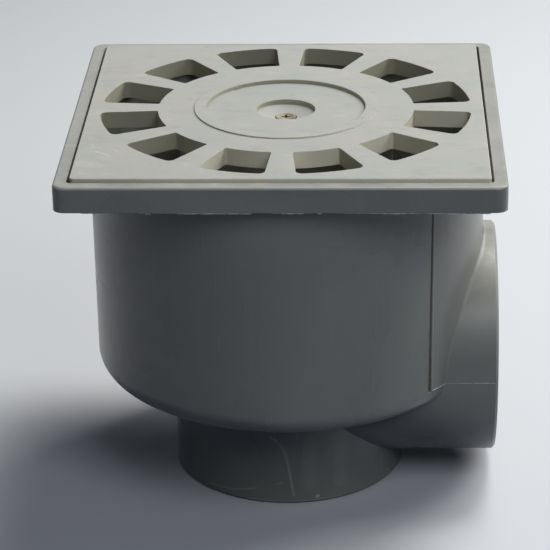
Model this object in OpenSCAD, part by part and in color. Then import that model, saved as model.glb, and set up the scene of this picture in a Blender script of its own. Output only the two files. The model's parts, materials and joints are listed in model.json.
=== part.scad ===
// Floor gully with a water seal, in four pieces:
//   body          pot, square frame, standpipe, bottom outlet and side outlet, moulded as one
//   grate         slotted square plate that rests in the frame
//   bell          cup that hangs under the grate, over the standpipe, and makes the seal
//   centre_screw  screw in the grate's dish that holds the bell
// Millimetres, +Z up. The origin is the centre of the bottom outlet's end, and the side
// outlet points along +X.

/* [Frame] */
// Width of the square frame, outside
frame_w = 199; // [180:1:240]
// Height of the frame's outer skirt
frame_h = 11.8; // [10:0.1:16]
// Width of the rim round the grate
rim_w = 6; // [5:0.5:8]
// Radius of the frame's corners, seen from above
frame_corner_r = 5.5; // [3:0.5:10]
// Rounding of the rim's outer top edge
frame_edge_r = 1.5; // [0.5:0.1:2.5]
// Depth of the recess that holds the grate
recess_depth = 6.5; // [5:0.1:7]
// Radius of the recess's corners
recess_corner_r = 2; // [1:0.5:4]
// Thickness of the ledge that the grate rests on
ledge_t = 3; // [2:0.1:3.5]
// Width of the ledge where it is narrowest, at the middle of each side
ledge_w = 4; // [3:0.5:6]
// Thickness of the skirt's lower edge
skirt_t = 3; // [2:0.1:4]

/* [Pot] */
// Height of the body, from the bottom outlet's end to the rim
body_h = 179; // [165:1:220]
// Wall thickness of the pot, its floor and the standpipe
wall = 3.2; // [2.4:0.1:4]
// How much smaller the pot's radius is at its bottom corner than under the frame
pot_draft = 0.7; // [0:0.1:2]
// Outer rounding of the pot's bottom corner
pot_corner_r = 10; // [6:0.5:14]
// How far the pot's underside lies below the side outlet's axis
floor_drop = 10.9; // [6:0.1:16]

/* [Standpipe] */
// Outer radius of the standpipe
stand_r = 34.5; // [30:0.5:38]
// Height of its rim, the weir, above the pot's underside
weir_h = 77; // [65:1:85]
// Rounding where the standpipe meets the pot's floor
stand_root_r = 3; // [1:0.5:5]

/* [Outlets] */
// Outside diameter of both outlets
outlet_d = 110.4; // [100:0.1:114]
// Wall thickness of both outlets
outlet_wall = 3.2; // [2.4:0.1:4]
// Chamfer on the outside of each outlet's end
outlet_chamfer = 1.2; // [0.5:0.1:2]
// How much the outlets' radius grows by draft, from the straight end to the root
outlet_draft = 0.4; // [0.1:0.1:1]
// Height of the side outlet's lowest line above the bottom outlet's end
side_lift = 8.7; // [4:0.1:14]
// How far the side outlet's end lies inside the frame's side
side_inset = 0.4; // [0:0.1:2]

/* [Mould slide marks] */
// Width of the panel that the slide formed on the pot, beyond the outlet on each side
slide_margin = 8; // [5:0.1:9]
// How far the panel stands proud of the pot, under the frame
slide_proud = 0.3; // [0.2:0.1:1.2]
// Width of the groove down each edge of the panel
seam_w = 0.4; // [0.3:0.1:1.2]
// Depth of that groove
seam_depth = 0.8; // [0.4:0.1:1.2]

/* [Grate] */
// Gap between the grate and the recess, all round
grate_gap = 1.3; // [0.5:0.1:2]
// Height of the grate, from its resting edge to its top
grate_h = 8; // [7:0.1:10]
// Thickness of the grate's top skin
grate_skin = 3; // [2:0.1:4]
// Thickness of the skirt, slot walls and ribs under the skin
grate_wall = 2.4; // [1.6:0.1:3]
// Radius of the grate's corners
grate_corner_r = 2; // [1.5:0.5:4]
// Rounding of the grate's top edge
grate_edge_r = 0.4; // [0.3:0.1:1.2]
// Number of slots
slot_count = 12; // [8:1:16]
// Distance from the slots' outer ends to the pot's inner wall
slot_margin = 2.8; // [2.6:0.1:5]
// Length of each slot, along the radius
slot_len = 26.9; // [20:0.1:28]
// Angle that each bar between two slots takes up
bar_angle = 9.2; // [7:0.1:12]
// Rounding of each slot's two outer corners
slot_outer_r = 3; // [1:0.1:4]
// Rounding of each slot's two inner corners
slot_inner_r = 1; // [0.5:0.1:2]
// Inner radius of the low ring on the grate
ring_inner_r = 37.3; // [30:0.1:39]
// Outer radius of the low ring
ring_outer_r = 42.8; // [41:0.1:48]
// Height of the low ring
ring_h = 0.6; // [0.3:0.1:1]
// How far the disc inside the ring lies below the grate's top
disc_depth = 1.1; // [0.5:0.1:1.5]
// Radius of the dish in the middle
dish_r = 13.8; // [11:0.1:16]
// Height of the dish's upright wall, below the disc
dish_lip = 2.1; // [1:0.1:2.5]
// Depth of the dish where the screw's pocket starts, below the grate's top
dish_depth = 5; // [4:0.1:5.5]
// Depth of the screw's pocket, below the dish
pocket_depth = 1; // [0.4:0.1:1.5]
// Height of the ribs under the grate, below the skin
rib_h = 3.5; // [2:0.1:4]

/* [Bell] */
// Outer radius of the bell at its top
bell_top_r = 50; // [47:0.5:52]
// How much wider the bell is at its rim
bell_flare = 2.5; // [0:0.5:4]
// Wall thickness of the bell
bell_wall = 2.4; // [1.6:0.1:3]
// Rounding of the bell's shoulder
bell_shoulder_r = 8; // [4:0.5:12]
// Depth of the water seal, from the weir down to the bell's rim
seal_depth = 52; // [45:1:58]
// Length of the boss inside the bell that takes the screw
bell_boss_h = 14; // [10:0.5:20]
// Wall thickness of that boss
bell_boss_wall = 4; // [3:0.1:6]

/* [Centre screw] */
// Radius of the screw's head
head_r = 4.7; // [4:0.1:5.5]
// Height of the head
head_h = 1.3; // [1.2:0.1:2]
// Radius of the screw's shank
shank_r = 2; // [1.5:0.1:2.5]
// Gap round the head in its pocket
head_clearance = 0.4; // [0.3:0.1:1.2]
// Gap round the shank in the grate
shank_clearance = 0.3; // [0.1:0.1:0.6]
// Length of each arm of the cross recess in the head, from end to end
driver_len = 4.2; // [3:0.1:6]
// Width of those arms
driver_w = 1.2; // [0.6:0.1:1.4]
// Depth of the cross recess
driver_depth = 0.9; // [0.5:0.1:1]

/* [Hidden] */
$fn = 96;
eps = 0.01;
cut = 1;
edge_fullness = 1.04;
corner_steps = 4;
overrun = 0.3;
straight_gap = 0.2;

pvc = [0.46, 0.47, 0.45];
pvc_light = [0.68, 0.69, 0.66];
brass = [0.72, 0.62, 0.42];

// Frame, from the rim down
frame_z = body_h - frame_h;
recess_w = frame_w - 2 * rim_w;
ledge_z = body_h - recess_depth;
ledge_low_z = ledge_z - ledge_t;

// Outlets and pot
outlet_r = outlet_d / 2;
bore_r = outlet_r - outlet_wall;
side_z = side_lift + outlet_r;
side_end_x = frame_w / 2 - side_inset;
floor_z = side_z - floor_drop;
pot_in_r = recess_w / 2 - ledge_w;
pot_top_r = pot_in_r + wall;
pot_low_r = pot_top_r - pot_draft;
weir_z = floor_z + weir_h;

// Slide panel
slide_half_w = outlet_r + slide_margin;
slide_r = pot_top_r + slide_proud;

// Straight ends of the outlets, which stop short of what each outlet runs into
bottom_straight = side_lift - outlet_draft - straight_gap;
side_straight = side_end_x - slide_r - straight_gap;

// Grate
grate_w = recess_w - 2 * grate_gap;
grate_top_z = ledge_z + grate_h;
slot_out_r = pot_in_r - slot_margin;
slot_in_r = slot_out_r - slot_len;
slot_pitch = 360 / slot_count;
slot_angle = slot_pitch - bar_angle;
pocket_r = head_r + head_clearance;
pocket_z = grate_top_z - dish_depth - pocket_depth;
boss_r = dish_r + grate_wall;

// Bell
bell_top_z = ledge_z;
bell_rim_z = weir_z - seal_depth;
bell_rim_r = bell_top_r + bell_flare;
bell_boss_r = shank_r + bell_boss_wall;
bell_boss_z = bell_top_z - bell_wall - bell_boss_h;

// ---- shared shapes ----

// Square with round corners, centred
module rounded_square(w, r) {
    square([w, w - 2 * r], center = true);
    square([w - 2 * r, w], center = true);
    for (x = [-1, 1], y = [-1, 1])
        translate([x, y] * (w / 2 - r)) circle(r);
}

// Upright prism on a rounded square
module rounded_block(w, h, r) {
    linear_extrude(h) rounded_square(w, r);
}

// What to take off a square edge to round it; the arc is a little fuller than a quarter
// circle, so it crosses both faces
module edge_waste(r) {
    difference() {
        square(r + cut);
        circle(r * edge_fullness);
    }
}

// The same prism with its top edge rounded too
module rounded_slab(w, h, corner_r, edge_r) {
    difference() {
        rounded_block(w, h, corner_r);
        translate([0, 0, h - edge_r]) for (a = [0:90:270]) rotate(a) {
            translate([w / 2 - edge_r, w / 2 - corner_r, 0]) rotate([90, 0, 0])
                linear_extrude(w - 2 * corner_r) edge_waste(edge_r);
            translate([1, 1, 0] * (w / 2 - corner_r)) rotate_extrude(angle = 90)
                translate([corner_r - edge_r, 0]) edge_waste(edge_r);
        }
    }
}

// Triangle from the axis out along +X, that many degrees wide, moved back by shift
module wedge(angle, reach, shift = 0) {
    half = reach * tan(angle / 2);
    translate([-shift, 0]) polygon([[0, 0], [reach, -half], [reach, half]]);
}

// Part of a ring between two radii, inside a wedge
module ring_sector(r_in, r_out, angle, shift = 0) {
    intersection() {
        difference() {
            circle(r_out);
            circle(r_in);
        }
        wedge(angle, 2 * r_out, shift);
    }
}

// ---- body ----

// Solid of the pot's outside, up to the frame's underside
module pot_outside() {
    rotate_extrude() {
        polygon([
            [0, floor_z], [pot_low_r - pot_corner_r, floor_z],
            [pot_low_r, floor_z + pot_corner_r], [pot_top_r, ledge_low_z + eps],
            [0, ledge_low_z + eps]
        ]);
        translate([pot_low_r - pot_corner_r, floor_z + pot_corner_r]) circle(pot_corner_r);
    }
}

// Water space between the pot's wall and the standpipe, open at the top
module trough() {
    low_r = pot_low_r - wall;
    low_z = floor_z + wall;
    corner = pot_corner_r - wall;
    difference() {
        rotate_extrude() {
            polygon([
                [0, low_z], [low_r - corner, low_z], [low_r, low_z + corner],
                [pot_in_r, ledge_low_z], [pot_in_r, body_h + cut], [0, body_h + cut]
            ]);
            translate([low_r - corner, low_z + corner]) circle(corner);
        }
        standpipe_outside();
    }
}

// Solid of the standpipe's outside, with a rounded root
module standpipe_outside() {
    low_z = floor_z + wall;
    translate([0, 0, floor_z]) cylinder(r = stand_r, h = weir_h);
    rotate_extrude() difference() {
        translate([0, floor_z]) square([stand_r + stand_root_r, wall + stand_root_r]);
        translate([stand_r + stand_root_r, low_z + stand_root_r]) circle(stand_root_r);
    }
}

// Outside of an outlet along +Z, its end at the origin: a chamfer, the straight end that
// enters a pipe's socket, and the drafted length behind it
module outlet_outside(length, straight) {
    cylinder(r1 = outlet_r - outlet_chamfer, r2 = outlet_r, h = outlet_chamfer);
    translate([0, 0, outlet_chamfer]) cylinder(r = outlet_r, h = straight - outlet_chamfer);
    translate([0, 0, straight])
        cylinder(r1 = outlet_r, r2 = outlet_r + outlet_draft, h = length - straight);
}

// Turns and moves an outlet from +Z to the side outlet's place
module at_side() {
    translate([side_end_x, 0, side_z]) rotate([0, -90, 0]) children();
}

// Panel that the mould's side slide formed on the pot, from the outlet's axis up to the frame
module slide_panel() {
    intersection() {
        translate([0, 0, side_z]) cylinder(r = slide_r, h = ledge_low_z - side_z + eps);
        translate([0, -slide_half_w, side_z]) cube([frame_w, 2 * slide_half_w, body_h]);
    }
}

// Grooves down the panel's two edges
module seam_grooves() {
    for (s = [-1, 1])
        intersection() {
            translate([0, s * (slide_half_w + seam_w / 2) - seam_w / 2, side_z])
                cube([frame_w, seam_w, ledge_low_z - side_z]);
            difference() {
                translate([0, 0, side_z]) cylinder(r = slide_r + cut, h = body_h);
                cylinder(r = pot_low_r - seam_depth, h = body_h);
            }
        }
}

// Frame before the recess is cut, hollow under the ledge, with a rib to each corner
module frame_block() {
    rib_len = frame_w / sqrt(2) - frame_corner_r;
    translate([0, 0, frame_z]) difference() {
        rounded_slab(frame_w, frame_h, frame_corner_r, frame_edge_r);
        difference() {
            translate([0, 0, -cut]) rounded_block(
                frame_w - 2 * skirt_t, ledge_low_z - frame_z + cut, frame_corner_r - skirt_t / 2
            );
            for (a = [45:90:315]) rotate(a)
                translate([0, -wall / 2, 0]) cube([rib_len, wall, frame_h]);
        }
    }
}

module body() {
    color(pvc) difference() {
        union() {
            pot_outside();
            outlet_outside(floor_z, bottom_straight);
            at_side() outlet_outside(side_end_x, side_straight);
            slide_panel();
            frame_block();
        }
        trough();
        seam_grooves();
        translate([0, 0, ledge_z]) rounded_block(recess_w, recess_depth + cut, recess_corner_r);
        translate([0, 0, -cut]) cylinder(r = bore_r, h = floor_z + cut);
        cylinder(r = stand_r - wall, h = body_h);
        difference() {
            translate([0, 0, side_z]) rotate([0, 90, 0]) cylinder(r = bore_r, h = side_end_x + cut);
            pot_outside();
        }
    }
}

// ---- grate ----

// Point at a distance and angle from another
function polar(r, angle, from = [0, 0]) = from + r * [cos(angle), sin(angle)];

// Short chords round a corner, from one direction to the other
function corner_arc(centre, r, from, to) =
    [for (i = [0:corner_steps]) polar(r, from + (to - from) * i / corner_steps, centre)];

// One side of a slot from its inner corner to its outer one, each arc run a little past the
// circle that it joins
function slot_side() = let (
    half = slot_angle / 2,
    outer_turn = half - asin(slot_outer_r / (slot_out_r - slot_outer_r)),
    inner_turn = half - asin(slot_inner_r / (slot_in_r + slot_inner_r)),
    inner = corner_arc(
        polar(slot_in_r + slot_inner_r, inner_turn), slot_inner_r, inner_turn + 180, half + 90
    ),
    outer = corner_arc(
        polar(slot_out_r - slot_outer_r, outer_turn), slot_outer_r, half + 90, outer_turn
    ),
    run_in = inner[0] + overrun * (inner[0] - inner[1]),
    run_out = outer[corner_steps] + overrun * (outer[corner_steps] - outer[corner_steps - 1])
) concat(
    [run_in], [for (i = [1:corner_steps]) inner[i]],
    [for (i = [0:corner_steps - 1]) outer[i]], [run_out]
);

// One slot, seen from above, pointing along +X
module slot_shape() {
    side = slot_side();
    last = len(side) - 1;
    intersection() {
        difference() {
            circle(slot_out_r);
            circle(slot_in_r);
        }
        polygon(concat(
            [[0, 0]], side, [[slot_out_r + cut, 0]],
            [for (i = [last:-1:0]) [side[i].x, -side[i].y]]
        ));
    }
}

// Wall round one slot, solid, seen from above
module slot_wall_shape() {
    ring_sector(
        slot_in_r - grate_wall, slot_out_r + grate_wall,
        slot_angle, grate_wall / sin(slot_angle / 2)
    );
}

module each_slot() {
    for (i = [0:slot_count - 1]) rotate((i + 0.5) * slot_pitch) children();
}

// Skirt, slot walls, boss and ribs under the skin, from the resting edge up
module grate_underside() {
    inside_w = grate_w - 2 * grate_wall;
    difference() {
        rounded_block(grate_w, grate_h - grate_skin, grate_corner_r);
        translate([0, 0, -cut])
            rounded_block(inside_w, grate_h, grate_corner_r / 2);
    }
    linear_extrude(grate_h - grate_skin) each_slot() slot_wall_shape();
    cylinder(r = boss_r, h = grate_h - grate_skin);
    translate([0, 0, grate_h - grate_skin - rib_h])
        each_slot() translate([boss_r / 2, -grate_wall / 2, 0])
            cube([slot_in_r - boss_r / 2, grate_wall, rib_h]);
    translate([0, 0, grate_h - grate_skin - rib_h])
        for (a = [45:90:315]) rotate(a)
            translate([slot_out_r, -grate_wall / 2, 0])
                cube([grate_w / sqrt(2) - grate_corner_r - slot_out_r, grate_wall, rib_h]);
}

// Dish in the middle, the screw's pocket in it and the hole through the boss
module dish() {
    lip_z = grate_h - disc_depth - dish_lip;
    translate([0, 0, lip_z]) cylinder(r = dish_r, h = grate_h);
    translate([0, 0, grate_h - dish_depth])
        cylinder(r1 = pocket_r, r2 = dish_r, h = lip_z - grate_h + dish_depth + eps);
    translate([0, 0, pocket_z - ledge_z]) cylinder(r = pocket_r, h = dish_depth);
    translate([0, 0, -cut]) cylinder(r = shank_r + shank_clearance, h = grate_h);
}

module grate() {
    color(pvc_light) translate([0, 0, ledge_z]) difference() {
        union() {
            grate_underside();
            translate([0, 0, grate_h - grate_skin])
                rounded_slab(grate_w, grate_skin, grate_corner_r, grate_edge_r);
            translate([0, 0, grate_h - eps]) cylinder(r = ring_outer_r, h = ring_h + eps);
        }
        translate([0, 0, grate_h - disc_depth]) cylinder(r = ring_inner_r, h = grate_h);
        translate([0, 0, -cut]) linear_extrude(grate_h + 2 * cut) each_slot() slot_shape();
        dish();
    }
}

// ---- bell ----

// Half section of a solid bell: its top at z = 0, its rim at z = -h
module bell_section(top_r, rim_r, h, shoulder_r) {
    polygon([
        [0, 0], [top_r - shoulder_r, 0], [top_r, -shoulder_r], [rim_r, -h], [0, -h]
    ]);
    translate([top_r - shoulder_r, -shoulder_r]) circle(shoulder_r);
}

module bell() {
    h = bell_top_z - bell_rim_z;
    color(pvc) translate([0, 0, bell_top_z]) difference() {
        union() {
            difference() {
                rotate_extrude() bell_section(bell_top_r, bell_rim_r, h, bell_shoulder_r);
                translate([0, 0, -bell_wall]) rotate_extrude() bell_section(
                    bell_top_r - bell_wall, bell_rim_r - bell_wall, h, bell_shoulder_r - bell_wall
                );
            }
            translate([0, 0, bell_boss_z - bell_top_z])
                cylinder(r = bell_boss_r, h = bell_boss_h + bell_wall / 2);
        }
        translate([0, 0, bell_boss_z - bell_top_z - cut])
            cylinder(r = shank_r, h = bell_top_z - bell_boss_z + 2 * cut);
    }
}

// ---- centre screw ----

module cross_recess() {
    for (a = [0, 90]) rotate(a)
        translate([-driver_len / 2, -driver_w / 2, pocket_z + head_h - driver_depth])
            cube([driver_len, driver_w, driver_depth + cut]);
}

module centre_screw() {
    tip_z = bell_boss_z + bell_wall;
    color(brass) difference() {
        union() {
            translate([0, 0, pocket_z]) cylinder(r = head_r, h = head_h);
            translate([0, 0, tip_z]) cylinder(r = shank_r, h = pocket_z - tip_z + eps);
        }
        cross_recess();
    }
}

body();
grate();
bell();
centre_screw();
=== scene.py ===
"""Looks of the gully trap: moulded PVC, a brass screw, mould flash, and a plain studio round it.

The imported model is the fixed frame. Lengths are in metres, +Z is up, and the side outlet
points along +X.
"""

import json
import math
import random

import bpy
from mathutils import Matrix, Vector, noise

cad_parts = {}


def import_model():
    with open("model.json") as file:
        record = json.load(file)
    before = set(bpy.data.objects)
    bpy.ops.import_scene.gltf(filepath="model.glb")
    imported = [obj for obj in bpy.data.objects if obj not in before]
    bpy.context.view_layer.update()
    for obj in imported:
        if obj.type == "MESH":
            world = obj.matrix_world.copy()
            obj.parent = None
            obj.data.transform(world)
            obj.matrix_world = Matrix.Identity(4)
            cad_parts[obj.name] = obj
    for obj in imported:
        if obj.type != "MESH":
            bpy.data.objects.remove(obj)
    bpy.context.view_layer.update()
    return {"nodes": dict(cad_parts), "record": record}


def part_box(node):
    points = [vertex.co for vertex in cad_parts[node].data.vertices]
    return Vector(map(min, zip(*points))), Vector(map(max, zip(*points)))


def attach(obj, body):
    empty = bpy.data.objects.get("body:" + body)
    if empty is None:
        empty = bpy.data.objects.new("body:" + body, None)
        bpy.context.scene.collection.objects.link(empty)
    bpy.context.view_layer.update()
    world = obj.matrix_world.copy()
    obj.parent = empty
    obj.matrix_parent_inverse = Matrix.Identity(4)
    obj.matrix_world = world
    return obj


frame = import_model()

MM = 0.001
UP = Vector((0, 0, 1))
DOWN = -UP

# ---- Places, worked out from the frame ----

body_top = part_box("body")[1]
grate_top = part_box("grate")[1]
mounts = {m["name"]: m for m in frame["record"]["mounts"]}

HALF_W = body_top.x                                      # half the square frame's width
CORNER_R = 5.5 * MM                                      # the frame's corners, from above
RIM_Z = body_top.z                                       # the frame's top
SKIRT_Z = mounts["frame_underside"]["pos_m"][2]          # the frame's lower edge
RING_Z = grate_top.z                                     # the top of the grate's ring
PLATE_Z = RING_Z - 0.6 * MM                              # the top of the grate's plate

OUTLET_R = mounts["side_outlet"]["dims"]["r_mm"] * MM    # both outlets
SIDE_Z = mounts["side_outlet"]["pos_m"][2]               # the side outlet's axis
SIDE_END = HALF_W - 0.4 * MM                             # the side outlet's end face
CHAMFER = 1.2 * MM                                       # round the outlets' ends
FILLET_R = 2.0 * MM                                      # the side outlet's root

PANEL_R = 93.0 * MM                                      # the slide's panel, from above
PANEL_HALF_W = OUTLET_R + 8.0 * MM
PANEL_EDGE_X = math.sqrt(PANEL_R ** 2 - PANEL_HALF_W ** 2)

# ---- Colours, linear ----


def srgb(r, g, b):
    """A colour written as 0 to 255 sRGB, as linear RGBA."""
    def linear(c):
        c /= 255
        return c / 12.92 if c <= 0.04045 else ((c + 0.055) / 1.055) ** 2.4
    return (linear(r), linear(g), linear(b), 1)


PVC = srgb(150, 151, 146)
PVC_DEEP = srgb(134, 136, 132)
PVC_WARM = srgb(161, 160, 150)
GRATE = srgb(168, 169, 164)
GRATE_COOL = srgb(161, 164, 162)
GRATE_WARM = srgb(174, 172, 161)
GRATE_WALL = srgb(170, 167, 149)
# Painted sunlight on the slots' walls towards the front right
GRATE_WALL_PAINTED_SUNLIGHT = srgb(240, 236, 218)
# Pale wear, and the painted highlights drawn in the same colour
PALE_WEAR_AND_HIGHLIGHT = srgb(212, 211, 204)
FLASH = srgb(240, 237, 228)
FLASH_DULL = srgb(196, 193, 184)
# Dirt, and painted shade in hollows and grooves in the same colour
DIRT_AND_SHADE = srgb(84, 80, 62)
BRASS = srgb(196, 184, 158)
BRASS_DARK = srgb(96, 82, 60)
FLOOR = srgb(214, 217, 222)
FLOOR_BOUNCE = srgb(66, 74, 96)
BACKDROP = srgb(220, 223, 228)

SUNLIGHT = (1.0, 0.985, 0.95)
SKYLIGHT = (0.92, 0.95, 1.0)
DIM_SKY = (0.72, 0.84, 1.0, 1)

# ---- Marks, dirt, painted highlights and painted shade, each a line of points on a surface, a width and a strength ----


def on_outlet(*points):
    """A line through points (x, z) in mm, on the front of the bottom outlet."""
    return [Vector((x * MM, -math.sqrt(OUTLET_R ** 2 - (x * MM) ** 2), z * MM)) for x, z in points]


def on_grate(*points, sunk=0.0):
    """A line through points (x, y) in mm, on the grate's plate or sunk below it."""
    return [Vector((x * MM, y * MM, PLATE_Z - sunk)) for x, y in points]


def along_panel(side, *points, out=0.0):
    """A line down one side of the panel, through points (x, z) in mm, x counted from its edge."""
    y = side * (PANEL_HALF_W + out)
    return [Vector((PANEL_EDGE_X + x * MM, y, z * MM)) for x, z in points]


flow_line = on_outlet((-7.2, 35.2), (-4.8, 33.5), (-1.8, 30.2), (-0.4, 26.2), (0.5, 22.2),
                      (2.0, 12.9), (3.3, 4.8))
level_scratch = on_outlet((-37.5, 3.6), (-27.5, 4.3), (-17.7, 6.7), (-2.0, 11.5))
speck = on_outlet((14.2, 3.2), (14.9, 3.5))
# Painted highlights: two soft upright streaks down the bottom outlet's front
narrow_painted_highlight = on_outlet((11.0, 10), (11.0, 34))
broad_painted_highlight = on_outlet((25.5, 10), (25.5, 34))
# A painted highlight round the bottom outlet's lower end
end_painted_highlight = on_outlet((-18.9, 1.1), (-7.7, 1.1), (3.9, 1.1), (15.2, 1.1), (25.9, 1.1))
# A painted highlight along the frame's front top edge
front_edge_painted_highlight = [Vector((x, 0.4 * MM - HALF_W, RIM_Z - 0.4 * MM))
              for x in (2.5 * MM - HALF_W, HALF_W - 2.5 * MM)]

BODY_MARKS_AND_HIGHLIGHTS = [
    (flow_line, 0.9 * MM, 0.4),
    (level_scratch, 0.6 * MM, 0.35),
    (speck, 1.1 * MM, 0.9),
    (narrow_painted_highlight, 4.5 * MM, 0.1),
    (broad_painted_highlight, 5.5 * MM, 0.12),
    (end_painted_highlight, 1.0 * MM, 0.35),
    (front_edge_painted_highlight, 1.3 * MM, 0.3),
]
BODY_GROOVE_SHADE = []

# Painted highlights on the panel's edges, and painted shade in the grooves beside them, darker at
# their feet
for side in (-1, 1):
    BODY_MARKS_AND_HIGHLIGHTS.append((along_panel(side, (-0.3, 64), (0, 167)), 0.8 * MM, 0.45))
    BODY_GROOVE_SHADE += [
        (along_panel(side, (-1.2, 64), (-0.7, 167), out=0.1 * MM), 0.75 * MM, 0.9),
        (along_panel(side, (-1.5, 64), (-1.3, 70), out=0.1 * MM), 1.2 * MM, 0.9),
        (along_panel(side, (-1.3, 70), (-1.1, 80), out=0.1 * MM), 0.95 * MM, 0.6),
    ]

# Four scratches on the grate's front left, then a pale smear beside them
GRATE_MARKS = [
    (on_grate((-83.6, -58.4), (-80.0, -61.2), (-76.4, -64.6)), 0.8 * MM, 0.45),
    (on_grate((-82.1, -64.2), (-74.8, -69.2)), 0.7 * MM, 0.25),
    (on_grate((-76.5, -54.8), (-73.6, -58.8)), 0.8 * MM, 0.3),
    (on_grate((-86.3, -49.4), (-84.9, -53.0)), 0.8 * MM, 0.25),
    (on_grate((-89.1, -73.3), (-82.0, -75.4)), 5.0 * MM, 0.2),
]

# Dirt where a burr stands on the ring's inner edge
GRATE_DIRT = [(on_grate((-25.0, 27.6), (-23.2, 29.2), sunk=0.3 * MM), 1.5 * MM, 0.8)]

# ---- Node trees ----


class Tree:
    """The node tree of a material or a world, with one short call for each node."""

    def __init__(self, owner):
        self.owner = owner
        owner.use_nodes = True
        self.tree = owner.node_tree
        self.tree.nodes.clear()

    def add(self, kind, settings=None, **inputs):
        """Makes a node and fills its inputs, by name, with numbers, colours or sockets."""
        node = self.tree.nodes.new("ShaderNode" + kind)
        for key, value in (settings or {}).items():
            setattr(node, key, value)
        for key, value in inputs.items():
            self.fill(node.inputs[key.replace("_", " ")], value)
        return node

    def fill(self, socket, value):
        if isinstance(value, bpy.types.NodeSocket):
            self.tree.links.new(value, socket)
        else:
            socket.default_value = value

    def fill_in_order(self, node, values):
        for socket, value in zip(node.inputs, values):
            self.fill(socket, value)
        return node

    def math(self, operation, *values, clamp=False):
        node = self.add("Math", {"operation": operation, "use_clamp": clamp})
        return self.fill_in_order(node, values).outputs[0]

    def vector(self, operation, *values, out="Vector", **named):
        node = self.add("VectorMath", {"operation": operation}, **named)
        return self.fill_in_order(node, values).outputs[out]

    def times(self, a, b):
        return self.math("MULTIPLY", a, b)

    def most(self, *values):
        """The largest of several masks."""
        top = values[0]
        for value in values[1:]:
            top = self.math("MAXIMUM", top, value)
        return top

    def where(self):
        return self.add("TexCoord").outputs["Object"]

    def place(self, scale=(1, 1, 1), turn=(0, 0, 0)):
        """Object coordinates, scaled, and turned by degrees."""
        turn = tuple(math.radians(degrees) for degrees in turn)
        return self.add("Mapping", Vector=self.where(), Scale=scale, Rotation=turn).outputs[0]

    def noise(self, scale, where, detail=3.0, rough=0.55, warp=0.0):
        node = self.add("TexNoise", Vector=where, Scale=scale, Detail=detail,
                        Roughness=rough, Distortion=warp)
        return node.outputs[0]

    def ramp(self, value, low, high, to_low=0.0, to_high=1.0):
        """Value mapped smoothly from low..high to to_low..to_high."""
        node = self.add("MapRange", {"interpolation_type": "SMOOTHSTEP"}, Value=value,
                        From_Min=low, From_Max=high, To_Min=to_low, To_Max=to_high)
        return node.outputs[0]

    def mix(self, share, a, b):
        """Colour a, with this share of colour b."""
        node = self.add("Mix", {"data_type": "RGBA"})
        # The node has sockets for every type: 6 and 7 take its colours, and output 2 gives one
        for index, value in ((0, share), (6, a), (7, b)):
            self.fill(node.inputs[index], value)
        return node.outputs[2]

    def facing(self, axis, low, high):
        """0 to 1, as the share of the surface's normal along the axis goes from low to high."""
        normal = self.add("NewGeometry").outputs["True Normal"]
        return self.ramp(self.add("SeparateXYZ", Vector=normal).outputs[axis], low, high)

    def hollow(self, reach):
        """1 deep in corners and grooves no wider than reach, 0 in the open."""
        node = self.add("AmbientOcclusion", {"samples": 8}, Distance=reach)
        return self.ramp(node.outputs["AO"], 0.25, 0.95, 1.0, 0.0)

    def scratches(self, turn, length, width, share):
        """A mask of fine straight scratches that lie along one direction."""
        lines = self.noise(1.0, self.place((1 / length, 1 / width, 1 / length), turn),
                           detail=1.0, rough=0.3)
        patches = self.noise(28.0, self.place(turn=turn), detail=1.0)
        drawn = self.ramp(lines, 1 - share, 1 - share + 0.05)
        return self.times(drawn, self.ramp(patches, 0.5, 0.64))

    def stroke(self, start, end, width):
        """A mask of one mark on the surface, from start to end, which fades along its edges."""
        along = end - start
        away = self.vector("SUBTRACT", self.where(), start)
        share = self.math("DIVIDE", self.vector("DOT_PRODUCT", away, along, out="Value"),
                          along.length_squared, clamp=True)
        foot = self.vector("SCALE", along, Scale=share)
        distance = self.vector("DISTANCE", away, foot, out="Value")
        return self.ramp(distance, 0.35 * width, width, 1.0, 0.0)

    def mark(self, colour, shade, points, width, strength):
        """The colour, with one mark in another shade drawn over it."""
        mask = self.most(*[self.stroke(a, b, width) for a, b in zip(points, points[1:])])
        return self.mix(self.times(mask, strength), colour, shade)

    def rounded(self, radius):
        """The normal with its edges softened."""
        return self.add("Bevel", {"samples": 6}, Radius=radius).outputs[0]

    def bump(self, height, depth, strength, under=None):
        node = self.add("Bump", Height=height, Distance=depth, Strength=strength)
        if under:
            self.fill(node.inputs["Normal"], under)
        return node.outputs[0]

    def finish(self, shader, kind="OutputMaterial"):
        out = self.add(kind)
        self.tree.links.new(shader.outputs[0], out.inputs["Surface"])
        return self.owner


# ---- Materials ----


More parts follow.
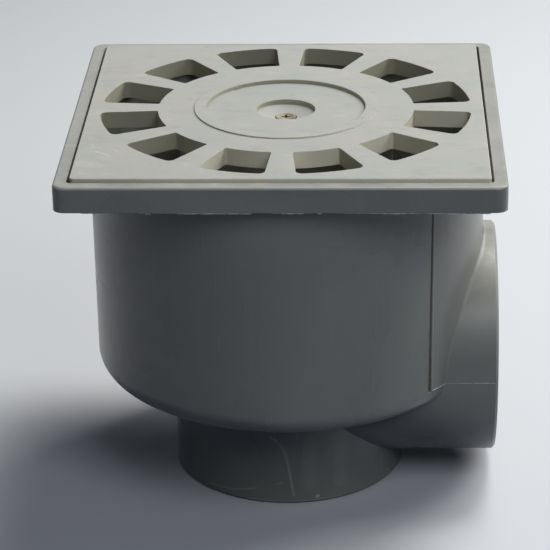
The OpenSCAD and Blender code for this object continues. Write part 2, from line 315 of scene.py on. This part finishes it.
def pvc_material(name, deep, middle, warm, roughness, grain, dust, worn, reach, marks_and_highlights=(),
                 dirt_and_shade=(), walls_and_sunlight=()):
    """Moulded PVC: cloudy colour, flow streaks, soiled on top, grime in grooves, scratches.

    The grain is its bumps' depth, dust and worn are from 0 to 1, and painted shade fills what
    is narrower than reach. Upright walls take the first wall colour, and the second as
    painted sunlight towards the front right.
    """
    t = Tree(bpy.data.materials.new(name))
    clouds = t.noise(9.0, t.place(), detail=4.0, warp=0.6)
    streaks = t.noise(1.0, t.place((260, 260, 14)), warp=0.4)
    specks = t.noise(900.0, t.place(), detail=2.0)
    colour = t.mix(t.ramp(clouds, 0.35, 0.7), deep, middle)
    colour = t.mix(t.ramp(streaks, 0.5, 0.8, 0.0, 0.15), colour, warm)
    colour = t.mix(t.ramp(specks, 0.62, 0.75, 0.0, 0.25), colour, deep)

    # Scratches in three directions, then the listed marks and dirt with the painted highlights and
    # painted groove shade among them, then painted shade in hollows
    scratch = t.most(
        t.scratches((0, 0, 20), 0.030, 0.00022, 0.28),
        t.scratches((0, 35, -38), 0.022, 0.00018, 0.27),
        t.scratches((62, 0, 80), 0.026, 0.00020, 0.27),
    )
    scratch = t.times(scratch, worn)
    colour = t.mix(t.times(scratch, 0.4), colour, PALE_WEAR_AND_HIGHLIGHT)
    for shade, lines in ((PALE_WEAR_AND_HIGHLIGHT, marks_and_highlights), (DIRT_AND_SHADE, dirt_and_shade)):
        for line in lines:
            colour = t.mark(colour, shade, *line)
    # Painted shade, darker in corners and grooves narrower than reach
    hollow_shade = t.times(t.hollow(reach), t.ramp(clouds, 0.3, 0.7, 0.45, 0.8))
    colour = t.mix(hollow_shade, colour, DIRT_AND_SHADE)

    # The slots' walls, with painted sunlight towards the front right, apart from those that face
    # the left
    up = t.facing("Z", 0.55, 0.95)
    if walls_and_sunlight:
        front_right = t.vector("DOT_PRODUCT", t.where(), (0.5, -0.866, 0), out="Value")
        painted_sunlight = t.times(t.ramp(front_right, 0.0, 0.07), t.facing("X", -0.8, -0.1))
        colour = t.mix(up, t.mix(painted_sunlight, *walls_and_sunlight), colour)

    # Dust on what faces up, which also serves as painted sheen there, then smears and scuffs
    dust_and_sheen = t.times(up, t.ramp(t.noise(60.0, t.place(), detail=5.0), 0.4, 0.65, 0.3, 1.0))
    colour = t.mix(t.times(dust_and_sheen, dust), colour, warm)
    smears = t.noise(1.0, t.place((75, 120, 75), (0, 0, 24)), detail=7.0, rough=0.72, warp=0.3)
    soiled = t.times(up, t.ramp(smears, 0.5, 0.72, 0.0, 0.3 * dust))
    colour = t.mix(soiled, colour, DIRT_AND_SHADE)
    scuffed = t.times(up, t.ramp(smears, 0.26, 0.46, 0.4 * dust, 0.0))
    colour = t.mix(scuffed, colour, PALE_WEAR_AND_HIGHLIGHT)

    matt = t.math("ADD", t.ramp(clouds, 0.2, 0.8, roughness - 0.03, roughness + 0.03),
                  t.times(dust_and_sheen, 0.16))
    matt = t.math("ADD", matt, t.times(scratch, 0.15))

    ripple = t.noise(140.0, t.place(), detail=2.0)
    normal = t.bump(ripple, 0.06 * MM, 0.5, t.rounded(0.35 * MM))
    normal = t.bump(t.noise(1600.0, t.place(), detail=2.0), grain, 0.5, normal)
    normal = t.bump(scratch, -0.03 * MM, 0.5, normal)
    shader = t.add("BsdfPrincipled", Base_Color=colour, Roughness=matt, Normal=normal)
    shader.inputs["IOR"].default_value = 1.47
    return t.finish(shader)


def flash_material():
    """The thin, stress-whitened skin of mould flash."""
    t = Tree(bpy.data.materials.new("mould_flash"))
    mottle = t.noise(700.0, t.place())
    colour = t.mix(t.ramp(mottle, 0.35, 0.6), FLASH_DULL, FLASH)
    normal = t.bump(mottle, 0.05 * MM, 0.6)
    shader = t.add("BsdfPrincipled", Base_Color=colour, Normal=normal)
    shader.inputs["Roughness"].default_value = 0.42
    return t.finish(shader)


def brass_material():
    """Dull brass, stained in patches, with painted shade in the screw's slot."""
    t = Tree(bpy.data.materials.new("screw_brass"))
    mottle = t.noise(900.0, t.place(), detail=4.0)
    stain = t.noise(260.0, t.place())
    # Painted shade in the screw's slot, and stains in patches
    dark = t.most(t.hollow(1.6 * MM), t.ramp(stain, 0.42, 0.62, 0.0, 0.8))
    colour = t.mix(dark, BRASS, BRASS_DARK)
    rough = t.ramp(mottle, 0.3, 0.7, 0.28, 0.5)
    normal = t.bump(mottle, 0.05 * MM, 0.6, t.rounded(0.2 * MM))
    shader = t.add("BsdfPrincipled", Base_Color=colour, Roughness=rough, Normal=normal)
    shader.inputs["Metallic"].default_value = 1.0
    return t.finish(shader)


def dress(node, material):
    """Gives a CAD node its material."""
    slots = frame["nodes"][node].data.materials
    slots.clear()
    slots.append(material)


body_pvc = pvc_material(
    "body_pvc", PVC_DEEP, PVC, PVC_WARM, roughness=0.28, grain=0.010 * MM, dust=0.6, worn=0.08,
    reach=1.0 * MM, marks_and_highlights=BODY_MARKS_AND_HIGHLIGHTS, dirt_and_shade=BODY_GROOVE_SHADE)
grate_pvc = pvc_material(
    "grate_pvc", GRATE_COOL, GRATE, GRATE_WARM, roughness=0.42, grain=0.03 * MM, dust=0.5,
    worn=1.0, reach=3.2 * MM, marks_and_highlights=GRATE_MARKS, dirt_and_shade=GRATE_DIRT,
    walls_and_sunlight=(GRATE_WALL, GRATE_WALL_PAINTED_SUNLIGHT))
bell_pvc = pvc_material(
    "bell_pvc", PVC_DEEP, PVC, PVC_WARM, roughness=0.40, grain=0.02 * MM, dust=0.2, worn=0.2,
    reach=3.2 * MM)
flash_skin = flash_material()

dress("body", body_pvc)
dress("grate", grate_pvc)
dress("bell", bell_pvc)
dress("centre_screw", brass_material())

# ---- Pieces that the mould left ----


def placed(name, data):
    """A new object in the scene."""
    made = bpy.data.objects.new(name, data)
    bpy.context.scene.collection.objects.link(made)
    return made


def piece(name, verts, faces, material, smooth=False):
    """A mesh piece that moves with the object."""
    mesh = bpy.data.meshes.new(name)
    mesh.from_pydata(verts, [], faces)
    mesh.materials.append(material)
    mesh.polygons.foreach_set("use_smooth", [smooth] * len(mesh.polygons))
    mesh.update()
    made = placed(name, mesh)
    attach(made, "root")
    return made


def flash(name, path, width, height, seed, closed=False, gaps=0.35, lean=0.0, taller=()):
    """A thin ragged fin along a path of (point, direction that it stands out in, sideways).

    It leans sideways towards its tip, and on the front it is taller in the stretches of X,
    from and to in mm, given by taller.
    """
    verts, faces = [], []
    rags_per_m, swells_per_m = 900, 70
    tip_half_w = 0.12 * width
    for point, out, side in path:
        rag = noise.noise(point * rags_per_m + Vector((seed, 0, 0)))
        swell = noise.noise(point * swells_per_m + Vector((0, seed, 0)))
        tall = height * (1 - gaps + 1.1 * swell + 0.3 * rag)
        if point.y < 0 and any(a * MM <= point.x <= b * MM for a, b in taller):
            tall = height * (1.3 + 0.2 * rag)
        tall = min(max(tall, -0.3 * height), 1.6 * height)
        root = point - out * height
        tip = point + out * tall + side * (width * 0.2 * rag + lean * (0.5 + tall / height))
        verts += [root - side * width / 2, root + side * width / 2,
                  tip + side * tip_half_w, tip - side * tip_half_w]
    count = len(path)
    for i in range(count if closed else count - 1):
        a, b = 4 * i, 4 * ((i + 1) % count)
        faces += [(a + k, a + (k + 1) % 4, b + (k + 1) % 4, b + k) for k in range(4)]
    if not closed:
        last = 4 * (count - 1)
        faces += [(3, 2, 1, 0), (last, last + 1, last + 2, last + 3)]
    return piece(name, verts, faces, flash_skin)


def frame_edge(inset, step):
    """Points round the frame's lower edge, with the way down and the way out at each."""
    path = []
    straight = HALF_W - CORNER_R
    corner_steps = 6
    for quarter in range(4):
        turn = Matrix.Rotation(quarter * math.pi / 2, 3, "Z")
        for i in range(int(2 * straight / step)):
            point = Vector((straight - i * step, -HALF_W + inset, SKIRT_Z))
            path.append((turn @ point, DOWN, turn @ Vector((0, -1, 0))))
        centre = Vector((-straight, -straight, SKIRT_Z))
        for i in range(corner_steps):
            a = -math.pi / 2 * (1 + i / corner_steps)
            way = Vector((math.cos(a), math.sin(a), 0))
            path.append((turn @ (centre + way * (CORNER_R - inset)), DOWN, turn @ way))
    return path[::-1]


def parting_line(side, step):
    """The slide's parting line: round the panel from its edge, then out along the outlet."""
    path = []
    seam = math.asin(PANEL_HALF_W / PANEL_R)
    meet = math.asin(OUTLET_R / PANEL_R)
    turns = 8
    for i in range(turns + 1):
        a = seam + (meet - seam) * i / turns
        way = Vector((math.cos(a), side * math.sin(a), 0))
        path.append((way * PANEL_R + UP * SIDE_Z, way, UP))
    start = PANEL_R * math.cos(meet)
    stop = SIDE_END - CHAMFER - 0.2 * MM
    for i in range(1, int((stop - start) / step) + 1):
        point = Vector((start + i * step, side * OUTLET_R, SIDE_Z))
        path.append((point, Vector((0, side, 0)), UP))
    return path


def outlet_fillet():
    """The small concave root of the side outlet, above the parting line."""
    verts, faces = [], []
    around, across = 72, 8
    for i in range(around + 1):
        phi = math.pi * (i / around - 0.5)
        outward = Vector((0, math.sin(phi), math.cos(phi)))
        centre = outward * (OUTLET_R + FILLET_R) + UP * SIDE_Z
        centre.x = math.sqrt((PANEL_R + FILLET_R) ** 2 - centre.y ** 2)
        to_pot = Vector((-centre.x, -centre.y, 0)).normalized()
        for k in range(across + 1):
            verts.append(centre + (-outward).slerp(to_pot, k / across) * FILLET_R)
    row = across + 1
    for i in range(around):
        for k in range(across):
            a = i * row + k
            faces.append((a, a + 1, a + row + 1, a + row))
    return piece("outlet_fillet", verts, faces, body_pvc, smooth=True)


def burr(name, point, size, seed):
    """A curled sliver of flash that hangs on an edge."""
    rng = random.Random(seed)
    verts, faces = [], []
    rings, sides = 7, 6
    for i in range(rings):
        t = i / (rings - 1)
        curl = Vector((0.9 * t - 0.3, -0.05, 0.5 * t - 0.7 * t * t))
        thick = 0.22 * (1 - 0.85 * t)
        for k in range(sides):
            a = 2 * math.pi * k / sides
            jitter = 1 + 0.35 * (rng.random() - 0.5)
            around = Vector((0, math.cos(a) * 0.5, math.sin(a)))
            verts.append(point + size * (curl + around * thick * jitter))
    for i in range(rings - 1):
        for k in range(sides):
            a, b = i * sides + k, i * sides + (k + 1) % sides
            faces.append((a, b, b + sides, a + sides))
    faces += [tuple(range(sides))[::-1], tuple(range((rings - 1) * sides, rings * sides))]
    return piece(name, verts, faces, flash_skin, smooth=True)


flash("frame_flash", frame_edge(inset=0.46 * MM, step=0.5 * MM), width=0.60 * MM,
      height=0.42 * MM, seed=3.7, closed=True, lean=0.12 * MM,
      taller=((-34, -12), (3.6, 5.4), (8, 10), (16.5, 18.5), (65, 91.5)))
for name, side, seed in (("parting_flash_front", -1, 9.1), ("parting_flash_back", 1, 5.3)):
    flash(name, parting_line(side, step=0.4 * MM), width=0.45 * MM, height=0.26 * MM,
          seed=seed, gaps=0.1)
outlet_fillet()
burr("frame_burr", Vector((-57.7 * MM, -HALF_W + 0.5 * MM, SKIRT_Z - 0.5 * MM)),
     size=2.4 * MM, seed=11)
burr("panel_burr", Vector((66.7 * MM, -PANEL_HALF_W - 0.4 * MM, SIDE_Z - 0.9 * MM)),
     size=1.5 * MM, seed=4)
burr("ring_burr", Vector((-24.5 * MM, 28.2 * MM, RING_Z - 0.5 * MM)), size=1.6 * MM, seed=8)

# ---- Stage, lights and camera ----


def floor(reach):
    """A flat floor, pale to the camera and in reflections, darker for the light it throws back."""
    t = Tree(bpy.data.materials.new("floor"))
    path = t.add("LightPath").outputs
    seen = t.most(path["Is Camera Ray"], path["Is Glossy Ray"], path["Is Transmission Ray"])
    shader = t.add("BsdfDiffuse", Color=t.mix(seen, FLOOR_BOUNCE, FLOOR))
    mesh = bpy.data.meshes.new("floor")
    corners = [(-reach, -reach, 0), (reach, -reach, 0), (reach, reach, 0), (-reach, reach, 0)]
    mesh.from_pydata(corners, [], [(0, 1, 2, 3)])
    mesh.materials.append(t.finish(shader))
    made = placed("floor", mesh)


def world(light, strength):
    """A weak even light, and a pale backdrop for the camera and for reflections."""
    t = Tree(bpy.data.worlds.new("studio"))
    path = t.add("LightPath").outputs
    seen = t.most(path["Is Camera Ray"], path["Is Glossy Ray"])
    dim = t.add("Background", Color=light, Strength=strength)
    pale = t.add("Background", Color=BACKDROP)
    pick = t.fill_in_order(t.add("MixShader"), (seen, dim.outputs[0], pale.outputs[0]))
    bpy.context.scene.world = t.finish(pick, "OutputWorld")


def lamp(name, place, size, power, colour):
    """A soft square lamp that points at the pot."""
    data = bpy.data.lights.new(name, "AREA")
    data.shape = "SQUARE"
    data.size = size
    data.energy = power
    data.color = colour
    made = placed(name, data)
    made.location = place
    made.rotation_mode = "QUATERNION"
    aim = Vector((0, 0, 0.12))
    made.rotation_quaternion = (aim - Vector(place)).to_track_quat("-Z", "Y")


def camera():
    """At the photograph's viewing angle: a long lens, a little to the right, looking down."""
    azimuth, elevation, roll = math.radians(2.244), math.radians(23.376), math.radians(-0.873)
    data = bpy.data.cameras.new("camera")
    data.sensor_width = 36
    data.lens = 170.6
    made = placed("camera", data)
    made.location = (0.0388, -1.1499, 0.5923)
    made.rotation_mode = "XYZ"
    look = Matrix.Rotation(azimuth, 3, "Z") @ Matrix.Rotation(math.pi / 2 - elevation, 3, "X")
    made.rotation_euler = (look @ Matrix.Rotation(roll, 3, "Z")).to_euler("XYZ")
    bpy.context.scene.camera = made


floor(reach=30.0)
world(DIM_SKY, strength=0.05)
lamp("key", (0.99, 0.62, 1.02), size=0.95, power=14.8, colour=SUNLIGHT)
lamp("overhead", (0.36, 0.44, 1.50), size=0.50, power=13.6, colour=SUNLIGHT)
lamp("front_fill", (0.52, -1.05, 1.18), size=0.80, power=5.8, colour=SKYLIGHT)
camera()

settings = bpy.context.scene.view_settings
settings.view_transform = "Standard"
